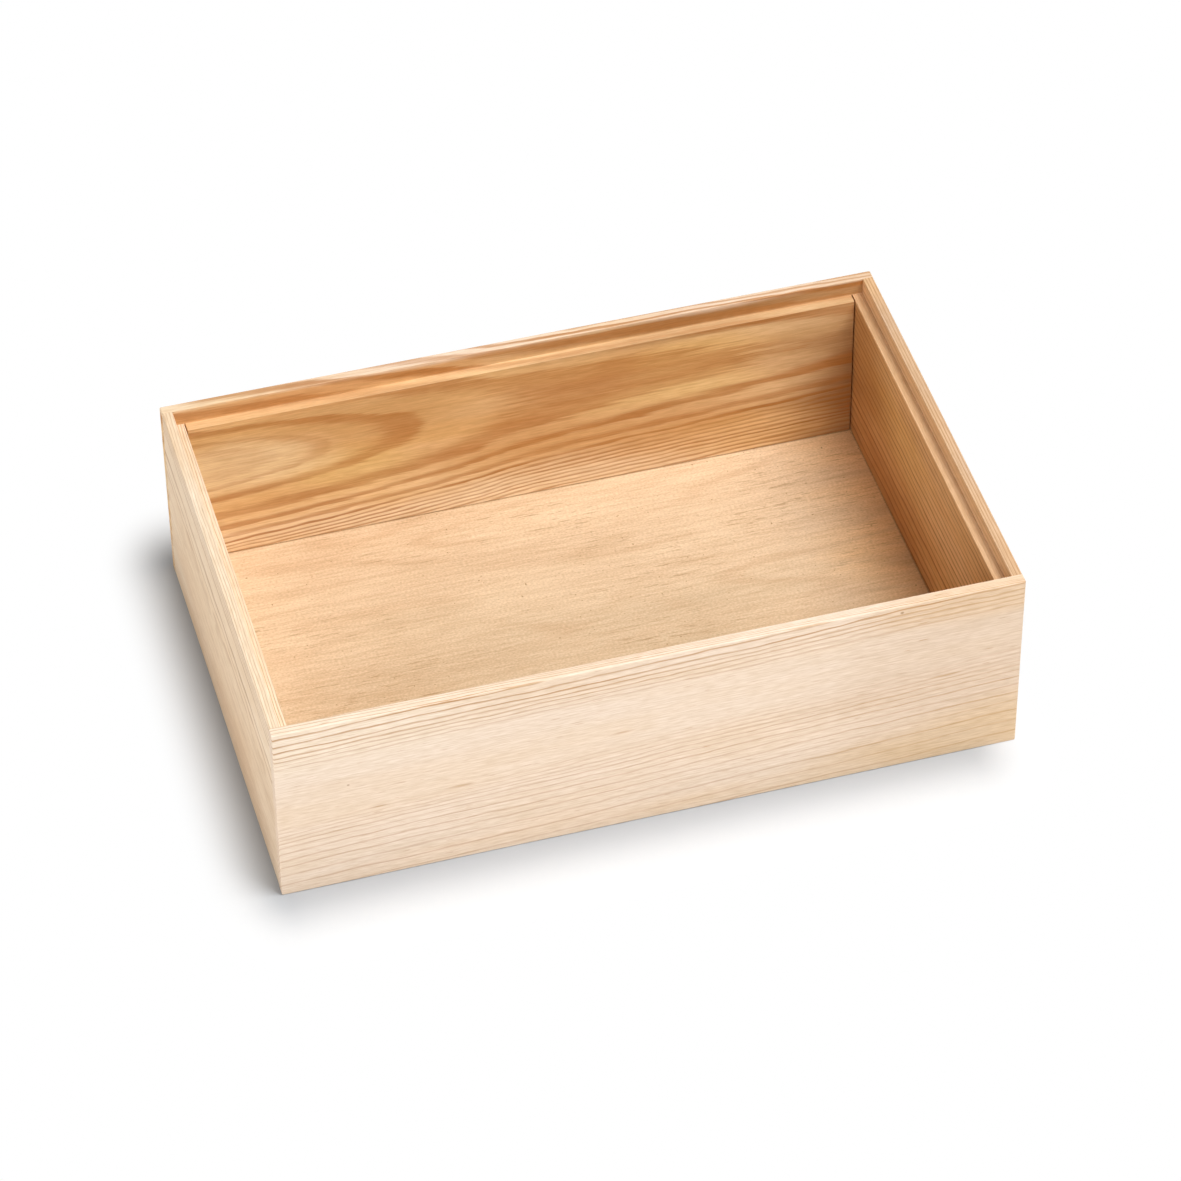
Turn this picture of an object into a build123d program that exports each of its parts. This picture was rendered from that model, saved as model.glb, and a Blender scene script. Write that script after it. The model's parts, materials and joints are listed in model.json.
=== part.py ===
from build123d import *
import os

# Open-topped storage box: four pine boards round a thin plywood bottom, in millimetres.
# The origin is the middle of the footprint, on the surface that the box stands on.
# +X runs along the front from left to right, +Y from the front to the back, and +Z up.

# Overall size
box_width = 240.0
box_depth = 155.0
box_height = 70.0

# Boards
wall_thickness = 7.0
rebate_width = 3.5  # cut from the inner face, along the top edge and at the long boards' ends alike
rebate_drop = 6.0  # from the top edge down to the ledge

# Corner joints
shoulder_gap = 0.4  # open line between a long board's shoulder and the side board beside it

# Bottom panel and its groove
panel_thickness = 3.0
panel_rise = 4.0  # lower face of the panel above the boards' lower edges
groove_depth = 3.0
groove_play = 0.1  # height of the groove beyond the panel's thickness
panel_edge_play = 0.4  # room to swell, between the panel's edge and the floor of the groove

# Sanded edges
outer_round = 0.8
inner_chamfer = 0.3

# Sizes that follow from those above
rim_thickness = wall_thickness - rebate_width
ledge_height = box_height - rebate_drop
groove_top = panel_rise + panel_thickness + groove_play
rabbet_width = wall_thickness + shoulder_gap
side_length = box_depth - 2 * rim_thickness
panel_inset = wall_thickness - groove_depth + panel_edge_play  # from the boards' outer faces


def wall_section():
    """Section of every board: X inward from its outer face, Y up from its lower edge."""
    groove_floor = wall_thickness - groove_depth
    with BuildSketch() as section:
        with BuildLine():
            Polyline(
                (0, 0),
                (wall_thickness - inner_chamfer, 0),
                (wall_thickness, inner_chamfer),
                (wall_thickness, panel_rise),
                (groove_floor, panel_rise),
                (groove_floor, groove_top),
                (wall_thickness, groove_top),
                (wall_thickness, ledge_height - inner_chamfer),
                (wall_thickness - inner_chamfer, ledge_height),
                (rim_thickness, ledge_height),
                (rim_thickness, box_height - inner_chamfer),
                (rim_thickness - inner_chamfer, box_height),
                (0, box_height),
                close=True,
            )
        make_face()
    return section.sketch


def long_board():
    """The front board: as wide as the box, with each end rabbeted down to a tongue."""
    outer_face = Plane(origin=(0, -box_depth / 2, 0), x_dir=(0, 1, 0), z_dir=(1, 0, 0))
    inner_face_y = wall_thickness - box_depth / 2
    with BuildPart() as board:
        with BuildSketch(outer_face):
            add(wall_section())
        extrude(amount=box_width / 2, both=True)

        # Each rabbet's cutter is centred on the end of the inner face, so half of it meets the board
        with BuildSketch():
            with Locations((-box_width / 2, inner_face_y), (box_width / 2, inner_face_y)):
                Rectangle(2 * rabbet_width, 2 * rebate_width)
        extrude(amount=2 * box_height, both=True, mode=Mode.SUBTRACT)

        left_to_right = board.faces().sort_by(Axis.X)
        end_edges = left_to_right[0].edges() + left_to_right[-1].edges()
        front_edges = board.faces().sort_by(Axis.Y)[0].edges()
        fillet(front_edges + end_edges.filter_by(Axis.Y), outer_round)
    return board.part


def side_board():
    """The left board: square-ended, and as long as the clear width between the tongues."""
    outer_face = Plane(origin=(-box_width / 2, 0, 0), x_dir=(1, 0, 0), z_dir=(0, -1, 0))
    with BuildPart() as board:
        with BuildSketch(outer_face):
            add(wall_section())
        extrude(amount=side_length / 2, both=True)
        outer_edges = board.faces().sort_by(Axis.X)[0].edges()
        fillet(outer_edges.filter_by(Axis.Y), outer_round)
    return board.part


def bottom_board():
    """The plywood panel, lying on the lower cheek of the groove in all four boards."""
    with BuildPart() as panel:
        with BuildSketch(Plane.XY.offset(panel_rise)):
            Rectangle(box_width - 2 * panel_inset, box_depth - 2 * panel_inset)
        extrude(amount=panel_thickness)
    return panel.part


# The back and right boards are the front and left ones turned round
half_turn = Rotation(0, 0, 180)
front = long_board()
left = side_board()
pieces = {
    "front_wall": front,
    "back_wall": half_turn * front,
    "left_wall": left,
    "right_wall": half_turn * left,
    "bottom_panel": bottom_board(),
}

os.makedirs("parts", exist_ok=True)
for name, piece in pieces.items():
    export_step(piece, f"parts/{name}.step")
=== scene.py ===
"""Looks of an open pine storage box: its boards, their grain and sanded edges, in a plain white studio.

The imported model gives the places. Meshes are in metres in its frame: +X runs along the front from left to
right, +Y from the front to the back, and +Z up. Grain patterns are measured in millimetres.
"""

import json
import logging
import math
from dataclasses import dataclass, field
from enum import Enum
from functools import cached_property
from typing import Dict, List, Optional, Sequence, Tuple, Union

import bmesh
import bpy
from mathutils import Matrix, Vector, noise


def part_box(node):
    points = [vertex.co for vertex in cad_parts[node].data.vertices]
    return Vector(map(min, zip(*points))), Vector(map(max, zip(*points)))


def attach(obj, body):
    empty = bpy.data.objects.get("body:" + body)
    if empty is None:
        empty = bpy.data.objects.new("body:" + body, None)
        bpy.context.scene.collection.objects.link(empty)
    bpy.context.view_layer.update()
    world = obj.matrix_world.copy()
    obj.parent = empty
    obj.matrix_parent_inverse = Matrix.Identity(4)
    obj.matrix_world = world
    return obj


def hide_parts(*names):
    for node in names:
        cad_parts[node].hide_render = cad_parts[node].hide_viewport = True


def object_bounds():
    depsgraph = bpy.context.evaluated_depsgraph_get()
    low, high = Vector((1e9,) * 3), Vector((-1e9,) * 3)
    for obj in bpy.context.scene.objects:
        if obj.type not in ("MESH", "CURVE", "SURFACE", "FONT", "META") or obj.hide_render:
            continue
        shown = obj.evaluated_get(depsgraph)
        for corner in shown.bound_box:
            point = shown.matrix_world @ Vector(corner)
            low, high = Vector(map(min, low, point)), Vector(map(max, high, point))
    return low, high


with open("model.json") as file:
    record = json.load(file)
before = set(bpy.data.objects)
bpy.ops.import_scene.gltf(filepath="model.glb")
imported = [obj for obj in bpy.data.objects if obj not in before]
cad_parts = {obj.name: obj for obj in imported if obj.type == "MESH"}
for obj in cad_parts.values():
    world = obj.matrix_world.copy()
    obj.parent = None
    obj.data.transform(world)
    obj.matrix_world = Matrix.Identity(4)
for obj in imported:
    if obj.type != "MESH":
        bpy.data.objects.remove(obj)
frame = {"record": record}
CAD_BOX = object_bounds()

LOG = logging.getLogger("storage_box")
MM = 0.001
BODY = "root"

# Nearly all noise about 0.5 lies between these values
TONE_SPAN = (0.25, 0.75)
# Where a year's dark line begins, once all years are stretched to a length of 1
LINE_START = 0.5
# Specular level of bare wood
BARE_WOOD_SHINE = 0.12
# Places count as one if they are this near, in metres
NEAR = 0.01 * MM
# An edge is a corner if its two faces turn by more than this
CORNER_TURN = math.radians(60)
# A face is square to an axis if that much of its normal lies along it
SQUARE_ON = 0.999
# Profile of a bevel that makes it a round
ROUND_PROFILE = 0.5

Socket = bpy.types.NodeSocket
Number = Union[Socket, float]
Range = Tuple[float, float]
Triple = Tuple[float, float, float]
Colour = Triple
Inputs = Dict[Union[int, str], object]


class Wall(Enum):
    """The four walls, each with the quarter turns that bring the front wall to its place."""

    FRONT = 0
    RIGHT = 1
    BACK = 2
    LEFT = 3

    @property
    def node(self) -> str:
        """Name of the wall's CAD node."""
        return f"{self.name.lower()}_wall"

    @property
    def turn(self) -> float:
        """Angle about Z, in radians, from the front wall to this one."""
        return self.value * math.pi / 2

    @property
    def is_long(self) -> bool:
        """True for the walls that run the full width and cover the ends of the others."""
        return self in (Wall.FRONT, Wall.BACK)


@dataclass
class NodeSheet:
    """A node tree, with a short method for each kind of node that is used often.

    Attributes:
        tree: the tree that takes the nodes.
    """

    tree: bpy.types.NodeTree

    def add(self, kind: str, inputs: Inputs, **settings: object) -> bpy.types.Node:
        """Add a node.

        Args:
            kind: the node's Blender type.
            inputs: a socket to link, or a value to set, for each input by name or number.
            settings: attributes of the node, set before its inputs.

        Returns:
            The new node.
        """
        node = self.tree.nodes.new(kind)
        for name, value in settings.items():
            setattr(node, name, value)
        for key, value in inputs.items():
            if isinstance(value, Socket):
                self.tree.links.new(value, node.inputs[key])
            else:
                node.inputs[key].default_value = value
        return node

    def maths(self, operation: str, first: Number, second: Number = 0.0, third: Number = 0.0) -> Socket:
        """Return the result of a Math node's operation."""
        return self.add("ShaderNodeMath", {0: first, 1: second, 2: third}, operation=operation).outputs[0]

    def times(self, value: Socket, factor: Number) -> Socket:
        """Return a value times a factor."""
        return self.maths("MULTIPLY", value, factor)

    def vector(self, operation: str, first: Union[Socket, Triple], second: Union[Socket, Triple]) -> Socket:
        """Return the vector result of a Vector Math node's operation."""
        return self.add("ShaderNodeVectorMath", {0: first, 1: second}, operation=operation).outputs[0]

    def length(self, value: Socket) -> Socket:
        """Return a vector's length."""
        return self.add("ShaderNodeVectorMath", {0: value}, operation="LENGTH").outputs["Value"]

    def point(self, x: Number = 0.0, y: Number = 0.0, z: Number = 0.0) -> Socket:
        """Return a vector of three values."""
        return self.add("ShaderNodeCombineXYZ", {0: x, 1: y, 2: z}).outputs[0]

    def grain_place(self, turn: Triple, move: Triple = (0.0, 0.0, 0.0)) -> Socket:
        """Return the object's own coordinates in millimetres, turned and then moved."""
        world = self.add("ShaderNodeTexCoord", {}).outputs["Object"]
        inputs = {"Vector": world, "Location": move, "Rotation": turn, "Scale": (1 / MM, 1 / MM, 1 / MM)}
        return self.add("ShaderNodeMapping", inputs).outputs[0]

    def ramp(self, value: Socket, low: float, high: float, start: float = 0.0, end: float = 1.0) -> Socket:
        """Return start below low and end above high, with a smooth step between."""
        inputs = {"Value": value, "From Min": low, "From Max": high, "To Min": start, "To Max": end}
        return self.add("ShaderNodeMapRange", inputs, interpolation_type="SMOOTHSTEP").outputs[0]

    def graph(self, value: Socket, points: Sequence[Range], straight: bool = False) -> Socket:
        """Read a value off a line drawn through points.

        Args:
            value: where to read the line.
            points: the line's points, from left to right.
            straight: join the points with straight lines and not with a smooth one.

        Returns:
            The height of the line.
        """
        left, right = points[0][0], points[-1][0]
        low = min(height for _, height in points)
        span = max(height for _, height in points) - low or 1.0
        share = self.maths("DIVIDE", self.maths("SUBTRACT", value, left), right - left)
        node = self.add("ShaderNodeFloatCurve", {"Value": share})
        curve = node.mapping.curves[0]
        curve.points[0].location = (0.0, (points[0][1] - low) / span)
        curve.points[-1].location = (1.0, (points[-1][1] - low) / span)
        for across, height in points[1:-1]:
            curve.points.new((across - left) / (right - left), (height - low) / span)
        for point in curve.points:
            point.handle_type = "VECTOR" if straight else "AUTO_CLAMPED"
        node.mapping.update()
        return self.maths("MULTIPLY_ADD", node.outputs[0], span, low)

    def mix(self, share: Number, first: object, second: object, blend: str = "MIX") -> Socket:
        """Return two colours mixed, by a share of the second."""
        node = self.add("ShaderNodeMix", {}, data_type="RGBA", blend_type=blend)
        sockets = {"Factor_Float": share, "A_Color": first, "B_Color": second}
        for item in node.inputs:
            if item.identifier in sockets:
                value = sockets[item.identifier]
                if isinstance(value, Socket):
                    self.tree.links.new(value, item)
                else:
                    item.default_value = value if isinstance(value, float) else (*value, 1.0)
        return next(item for item in node.outputs if item.identifier == "Result_Color")

    def shaded(self, colour: Socket, lumps: Socket, tones: Tuple[Colour, Colour]) -> Socket:
        """Return a colour times a tone, which goes from the first to the second as noise about 0.5 rises."""
        tone = self.mix(self.ramp(lumps, *TONE_SPAN), *tones)
        return self.mix(1.0, colour, tone, "MULTIPLY")

    def close(self, colour: Socket, roughness: Socket, height: Socket, relief: float) -> None:
        """Close a material with a wood surface.

        Args:
            colour: the base colour.
            roughness: how dull the surface is.
            height: the relief's height, from 0 to 1.
            relief: what a height of 1 measures, in metres.
        """
        bump = self.add("ShaderNodeBump", {"Height": height, "Distance": relief, "Strength": 1.0})
        inputs = {
            "Base Color": colour,
            "Roughness": roughness,
            "Normal": bump.outputs[0],
            "Specular IOR Level": BARE_WOOD_SHINE,
        }
        surface = self.add("ShaderNodeBsdfPrincipled", inputs)
        self.add("ShaderNodeOutputMaterial", {"Surface": surface.outputs[0]})


def empty_material(name: str) -> bpy.types.Material:
    """Return a new material with an empty node tree."""
    material = bpy.data.materials.new(name)
    material.use_nodes = True
    material.node_tree.nodes.clear()
    return material


@dataclass(frozen=True)
class Cloud:
    """Smooth random lumps in the wood, with values about 0.5.

    Attributes:
        stretch: the size of a lump along, into and up the board, in millimetres.
        detail: octaves of finer noise.
        shift: moves the lumps, so that two clouds in one board differ.
        span: the values between which a mask of the lumps fades in.
        strengths: how strong the mask is below and above them.
    """

    stretch: Triple
    detail: float
    shift: float
    span: Range = (0.0, 1.0)
    strengths: Range = (0.0, 1.0)

    def noise(self, sheet: NodeSheet, place: Socket, seed: float) -> Socket:
        """Lay the lumps in a board.

        Args:
            sheet: the material's nodes.
            place: coordinates in the board, in millimetres.
            seed: moves every pattern of the board.

        Returns:
            The noise.
        """
        moved = seed + self.shift
        scale = tuple(1 / size for size in self.stretch)
        inputs = {"Vector": place, "Location": (moved, moved, moved), "Scale": scale}
        scaled = sheet.add("ShaderNodeMapping", inputs).outputs[0]
        inputs = {"Vector": scaled, "Scale": 1.0, "Detail": self.detail}
        return sheet.add("ShaderNodeTexNoise", inputs).outputs["Fac"]

    def mask(self, sheet: NodeSheet, place: Socket, seed: float) -> Socket:
        """Return the lumps faded in over their span. The arguments are those of noise."""
        return sheet.ramp(self.noise(sheet, place, seed), *self.span, *self.strengths)


@dataclass(frozen=True)
class GrowthRings:
    """Where a board lay in its tree, in millimetres along, into and up the board.

    Attributes:
        pith: points of the tree's centre line, as (along, into the board, up), from one end to the other.
        face_depth: how deep below the outer face the pith lies, where the years are measured along that face.
        years: where each year's dark line ends, as radii or, with a face depth, as distances from the line on
            the outer face that is nearest the pith. Years that don't reach that face are negative.
        spacing: width of every year, where the years are even and none are given.
        line_width: greatest width of a year's dark line.
        line_share: greatest share of a year that the line may take.
        line_rise: share of the dark line's width over which the wood darkens.
        line_fall: share of its width over which it fades into the next year.
        growth_above: how much narrower the years look above the pith than below it.
        bold_by_height: how bold the lines are, as (height up the board, strength).
        bold_by_year: how bold they are, as (years counted from the first radius, strength).
        wave: how far the lines wander over a hand's breadth.
        feather: how far the fibres fray a line's edge, as a share of the year.
    """

    pith: Tuple[Triple, ...]
    face_depth: float = 0.0
    years: Tuple[float, ...] = ()
    spacing: float = 0.0
    line_width: float = 0.6
    line_share: float = 0.5
    line_rise: float = 0.75
    line_fall: float = 0.14
    growth_above: float = 1.0
    bold_by_height: Tuple[Range, ...] = ((0.0, 1.0), (70.0, 1.0))
    bold_by_year: Tuple[Range, ...] = ((0.0, 1.0), (1.0, 1.0))
    wave: float = 1.0
    feather: float = 0.1

    def radius(self, sheet: NodeSheet, axes: Sequence[Socket]) -> Socket:
        """Measure each place from the pith.

        Args:
            sheet: the material's nodes.
            axes: the place along, into and up the board.

        Returns:
            The radius or, with a face depth, the distance where the same year meets the outer face.
        """
        pith_in = sheet.graph(axes[0], [(point[0], point[1]) for point in self.pith])
        pith_up = sheet.graph(axes[0], [(point[0], point[2]) for point in self.pith])
        inward = sheet.maths("SUBTRACT", axes[1], pith_in)
        upward = sheet.maths("SUBTRACT", axes[2], pith_up)
        upward = sheet.maths("MINIMUM", upward, sheet.times(upward, self.growth_above))
        square = sheet.maths("MULTIPLY_ADD", inward, inward, -self.face_depth ** 2)
        square = sheet.maths("MULTIPLY_ADD", upward, upward, square)
        root = sheet.maths("SQRT", sheet.maths("ABSOLUTE", square))
        return sheet.times(root, sheet.maths("SIGN", square))

    def years_grown(self, sheet: NodeSheet, radius: Socket) -> Socket:
        """Count the years at a radius, each stretched so that its dark line begins at LINE_START.

        Args:
            sheet: the material's nodes.
            radius: what the method of that name gives.

        Returns:
            The years, with the part of the last one.
        """
        if not self.years:
            return sheet.maths("DIVIDE", radius, self.spacing)
        points = [(self.years[0], 0.0)]
        for count, (start, end) in enumerate(zip(self.years, self.years[1:])):
            width = min(self.line_width, (end - start) * self.line_share)
            points.append((end - width, count + LINE_START))
            points.append((end, count + 1.0))
        return sheet.graph(radius, points, straight=True)

    def dark_line(self, sheet: NodeSheet, count: Socket) -> Socket:
        """Return how dark a year's line is, from 0 to 1, at a count of years."""
        within = sheet.maths("FRACT", count)
        width = 1.0 - LINE_START
        rise = sheet.ramp(within, LINE_START, LINE_START + width * self.line_rise)
        fall = sheet.ramp(within, 1.0 - width * self.line_fall, 1.0, 1.0, 0.0)
        return sheet.times(rise, fall)


@dataclass(frozen=True)
class Patch:
    """A stretch of a board with another colour, faded at its edges.

    Attributes:
        place: its middle, as (along, up) in millimetres.
        reach: how far it goes from its middle (along, up).
        colour: its colour.
        strength: how far it covers the wood in its middle.
        core: share of its reach that it covers evenly.
    """

    place: Range
    reach: Range
    colour: Colour
    strength: float
    core: float = 0.2

    def cover(self, sheet: NodeSheet, place: Socket, blur: Socket) -> Socket:
        """How far the patch covers each place, from its strength in the middle to 0 outside.

        Args:
            sheet: the material's nodes.
            place: coordinates in the board.
            blur: noise about 0.5 that makes its outline uneven.

        Returns:
            The share that it covers.
        """
        scale = (1 / self.reach[0], 0.0, 1 / self.reach[1])
        middle = (-self.place[0] / self.reach[0], 0.0, -self.place[1] / self.reach[1])
        inputs = {"Vector": place, "Location": middle, "Scale": scale}
        away = sheet.add("ShaderNodeMapping", inputs).outputs[0]
        away = sheet.maths("ADD", sheet.length(away), sheet.maths("SUBTRACT", blur, 0.5))
        return sheet.ramp(away, self.core, 1.0, self.strength, 0.0)

    def over(self, sheet: NodeSheet, place: Socket, blur: Socket, colour: Socket) -> Socket:
        """Return a colour with the patch laid over it. The arguments are those of cover."""
        return sheet.mix(self.cover(sheet, place, blur), colour, self.colour)


@dataclass(frozen=True)
class PineFinish:
    """Planed and sanded pine, cut from one place in a tree.

    Attributes:
        name: the material's name.
        wall: the wall that it dresses.
        rings: where the board lay in its tree.
        early: colour of the wood grown in spring.
        late: colour of a year's dark line.
        warm: colour of the broad, slightly richer parts.
        line_strength: how far a dark line goes from the early to the late colour.
        dash_strength: how dark the short resin dashes are.
        seed: moves every random pattern, so that no two boards are alike.
        stains_and_painted_light: broad stretches of another colour, below the year lines: some the wood's own
            tone, some painted shade and painted light, as noted at each.
        marks: small ones laid over them, such as resin dashes, and on the right wall a painted light along
            the ledge.
        bend: lumps that bend the lines and the outlines of these stretches and marks.
        shiver: smaller lumps that make the lines shiver.
        fray: thin lumps that fray a line's edges.
        swell: lumps along which a line swells and fades.
        broad: where the richer parts are.
        fibre: the long fibres.
        hair: the short, fine ones.
        dash: the resin dashes.
        fibre_tones: factors of the colour in dark and in light fibres.
        hair_tones: the same for the fine ones.
        year_fade: how much fainter one year's line may be than another's.
        end_facing: how far along the grain a face points, between none and all of the end grain's colour.
        end_dark: how far end grain goes to the late colour.
        edge_light: how far a sanded edge goes to the early colour, partly for its wear and partly as a
            painted highlight along it.
        roughness: how dull the wood is between its fibres.
        fibre_roughness: how much duller a fibre is.
        fibre_height: share of the relief that the fibres have.
        line_height: share of the relief that the year lines have.
        relief: what a height of 1 measures, in metres.
    """

    name: str
    wall: Wall
    rings: GrowthRings
    early: Colour
    late: Colour
    warm: Colour
    line_strength: float
    dash_strength: float
    seed: float
    stains_and_painted_light: Tuple[Patch, ...] = ()
    marks: Tuple[Patch, ...] = ()
    bend: Cloud = Cloud((60.0, 14.0, 14.0), 1.5, 17.0)
    shiver: Cloud = Cloud((14.0, 4.0, 4.0), 1.0, 23.0)
    fray: Cloud = Cloud((22.0, 0.8, 0.8), 2.0, 29.0)
    swell: Cloud = Cloud((45.0, 4.0, 4.0), 1.0, 31.0, (0.3, 0.65), (0.7, 1.0))
    broad: Cloud = Cloud((110.0, 9.0, 14.0), 2.0, 11.0, (0.35, 0.7))
    fibre: Cloud = Cloud((30.0, 0.6, 0.6), 3.0, 0.0)
    hair: Cloud = Cloud((5.0, 0.4, 0.4), 2.0, 3.0)
    dash: Cloud = Cloud((7.0, 0.45, 0.45), 1.0, 7.0, (0.68, 0.78))
    fibre_tones: Tuple[Colour, Colour] = ((0.955, 0.937, 0.905), (1.045, 1.063, 1.095))
    hair_tones: Tuple[Colour, Colour] = ((0.930, 0.905, 0.865), (1.070, 1.095, 1.135))
    year_fade: float = 0.3
    end_facing: Range = (0.75, 0.95)
    end_dark: float = 0.12
    edge_light: float = 0.12
    roughness: float = 0.5
    fibre_roughness: float = 0.2
    fibre_height: float = 0.5
    line_height: float = 0.25
    relief: float = 0.05 * MM

    def material(self, reach: float) -> bpy.types.Material:
        """Build the material.

        Args:
            reach: how far the wall's outer face stands from the middle of the box, in metres.

        Returns:
            The material, patterned in three dimensions so that all faces of the board agree.
        """
        material = empty_material(self.name)
        sheet = NodeSheet(material.node_tree)
        # Along, into and up the board, from the middle of its outer face
        place = sheet.grain_place((0.0, 0.0, -self.wall.turn), (0.0, reach / MM, 0.0))
        bend = self.bend.noise(sheet, place, self.seed)
        fibre = self.fibre.noise(sheet, place, self.seed)
        hair = self.hair.noise(sheet, place, self.seed)
        dash = self.dash.mask(sheet, place, self.seed)
        broad = self.broad.mask(sheet, place, self.seed)
        line = self._year_lines(sheet, place, bend)

        colour = sheet.mix(broad, self.early, self.warm)
        # Broad stretches: the wood's own tones, and painted shade and painted light where noted
        for tone_patch in self.stains_and_painted_light:
            colour = tone_patch.over(sheet, place, bend, colour)
        colour = sheet.mix(sheet.times(line, self.line_strength), colour, self.late)
        # Small marks: resin in the wood, and a painted light along the right wall's ledge
        for mark in self.marks:
            colour = mark.over(sheet, place, bend, colour)
        colour = sheet.mix(sheet.times(dash, self.dash_strength), colour, self.late)
        colour = sheet.shaded(colour, fibre, self.fibre_tones)
        colour = sheet.shaded(colour, hair, self.hair_tones)
        colour = self._end_grain(sheet, colour)
        # Sanded edges lightened: partly wear, partly a painted highlight
        colour = self._sanded_and_highlit_edges(sheet, colour)

        roughness = sheet.maths("MULTIPLY_ADD", fibre, self.fibre_roughness, self.roughness)
        height = sheet.times(fibre, self.fibre_height)
        height = sheet.maths("MULTIPLY_ADD", line, self.line_height, height)
        sheet.close(colour, roughness, height, self.relief)
        return material

    def _year_lines(self, sheet: NodeSheet, place: Socket, bend: Socket) -> Socket:
        """Draw the years' dark lines.

        Args:
            sheet: the material's nodes.
            place: coordinates in the board.
            bend: noise about 0.5 that bends the lines.

        Returns:
            How dark each place is, from 0 to 1.
        """
        rings = self.rings
        axes = sheet.add("ShaderNodeSeparateXYZ", {0: place}).outputs
        radius = rings.radius(sheet, axes)
        shiver = self.shiver.noise(sheet, place, self.seed)
        for lumps, reach in ((bend, 2 * rings.wave), (shiver, rings.wave)):
            radius = sheet.maths("MULTIPLY_ADD", sheet.maths("SUBTRACT", lumps, 0.5), reach, radius)
        fray = sheet.maths("SUBTRACT", self.fray.noise(sheet, place, self.seed), 0.5)
        fray = sheet.times(fray, 2 * rings.feather)
        count = sheet.maths("ADD", rings.years_grown(sheet, radius), fray)

        inputs = {"W": sheet.maths("ADD", sheet.maths("FLOOR", count), self.seed)}
        chance = sheet.add("ShaderNodeTexWhiteNoise", inputs, noise_dimensions="1D").outputs["Value"]
        shares = (
            sheet.maths("MULTIPLY_ADD", chance, self.year_fade, 1.0 - self.year_fade),
            self.swell.mask(sheet, place, self.seed),
            sheet.graph(axes[2], rings.bold_by_height),
            sheet.graph(count, rings.bold_by_year),
        )
        line = rings.dark_line(sheet, count)
        for share in shares:
            line = sheet.times(line, share)
        return line

    def _end_grain(self, sheet: NodeSheet, colour: Socket) -> Socket:
        """Darken the faces that are cut across the grain."""
        normal = sheet.add("ShaderNodeNewGeometry", {}).outputs["Normal"]
        along = (math.cos(self.wall.turn), math.sin(self.wall.turn), 0.0)
        inputs = {0: normal, 1: along}
        facing = sheet.add("ShaderNodeVectorMath", inputs, operation="DOT_PRODUCT").outputs["Value"]
        share = sheet.ramp(sheet.maths("ABSOLUTE", facing), *self.end_facing, 0.0, self.end_dark)
        return sheet.mix(share, colour, self.late)

    def _sanded_and_highlit_edges(self, sheet: NodeSheet, colour: Socket) -> Socket:
        """Lighten the sanded edges a little: partly their wear, partly a painted highlight where they catch
        the light.
        """
        edge = sheet.add("ShaderNodeAttribute", {}, attribute_name="arris").outputs["Fac"]
        return sheet.mix(sheet.times(edge, self.edge_light), colour, self.early)


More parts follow.
